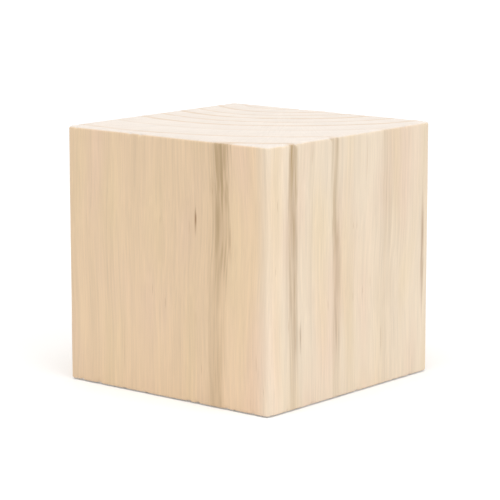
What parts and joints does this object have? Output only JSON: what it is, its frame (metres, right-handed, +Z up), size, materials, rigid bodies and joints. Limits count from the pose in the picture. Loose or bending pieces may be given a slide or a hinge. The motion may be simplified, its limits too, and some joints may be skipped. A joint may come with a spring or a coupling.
{
  "type": "wooden cube",
  "caption": "Plain solid softwood cube with lightly eased edges and blunted corners, for stacking, gluing, painting or use as a small block.",
  "frame": {"origin": "centre of the bottom face", "axes": "+Z up along the grain, square to the two end-grain faces; X and Y square to the side faces"},
  "size_m": [0.05, 0.05, 0.05],
  "materials": {
    "pine": "matte"
  },
  "bodies": {
    "root": {"cube": "pine"}
  },
  "joints": []
}
